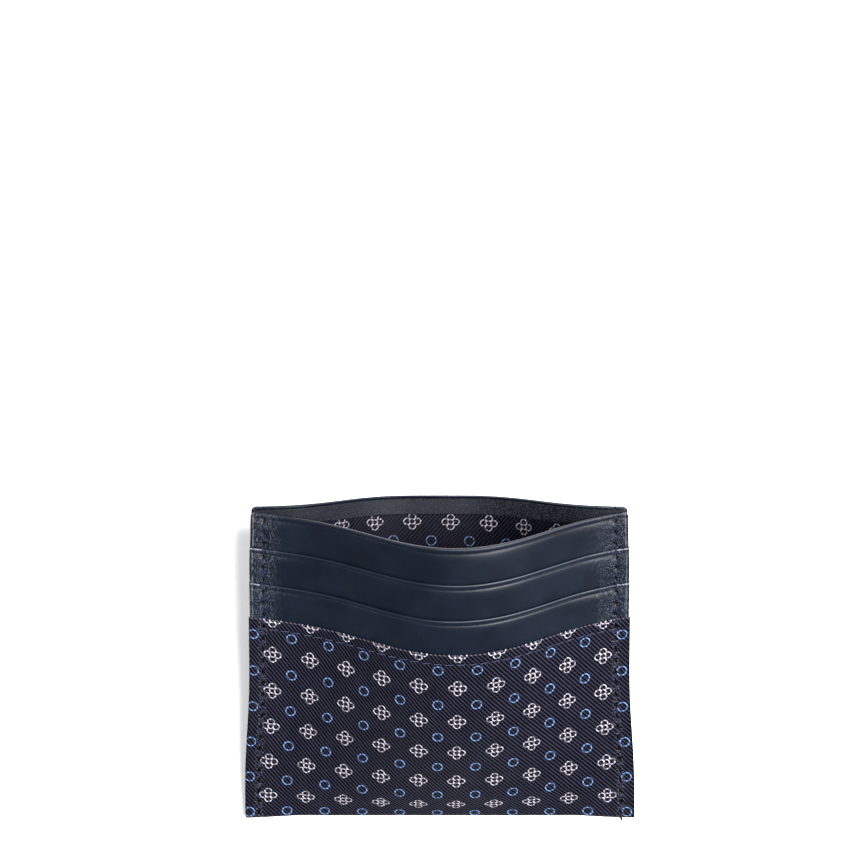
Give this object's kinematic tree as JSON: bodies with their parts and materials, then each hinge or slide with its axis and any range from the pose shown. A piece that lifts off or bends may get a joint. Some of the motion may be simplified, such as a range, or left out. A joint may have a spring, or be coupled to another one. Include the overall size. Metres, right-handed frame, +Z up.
{
  "type": "card holder",
  "caption": "Flat card holder in patterned silk and leather with stepped card slots on both faces and an open centre pocket, lying on its back.",
  "frame": {"origin": "centre of the holder's footprint on the table it lies on, under its back face", "axes": "+X across the holder towards its right side seam seen from the front, +Y from the bottom fold to the mouth, +Z up through the thickness, from the back face to the front face"},
  "size_m": [0.1, 0.0836, 0.0327],
  "materials": {
    "outer_silk": "woven silk twill, near-black navy with small cream flowers and light blue rings",
    "lining_silk": "the same silk twill turned over on the inside of the pocket",
    "leather": "smooth matte navy calf leather",
    "facing_leather": "navy leather with a fine pressed grain",
    "slot_cloth": "thin plain black cloth",
    "board": "plain grey stiffening board",
    "thread": "navy polyester thread"
  },
  "bodies": {
    "root": {"outer_silk": "outer_silk", "silk_interlining": "slot_cloth", "pocket_lining": "lining_silk", "front_top_tier": "leather", "front_middle_tier": "leather", "front_lower_tier": "leather", "front_middle_slot_lining": "slot_cloth", "front_lower_slot_lining": "slot_cloth", "front_stiffener": "board", "front_facing": "facing_leather", "back_top_tier": "leather", "back_middle_tier": "leather", "back_lower_tier": "leather", "back_middle_slot_lining": "slot_cloth", "back_lower_slot_lining": "slot_cloth", "back_stiffener": "board", "back_facing": "facing_leather", "left_seam_thread": "thread", "right_seam_thread": "thread", "front_hem_thread": "thread", "back_hem_thread": "thread"}
  },
  "joints": []
}
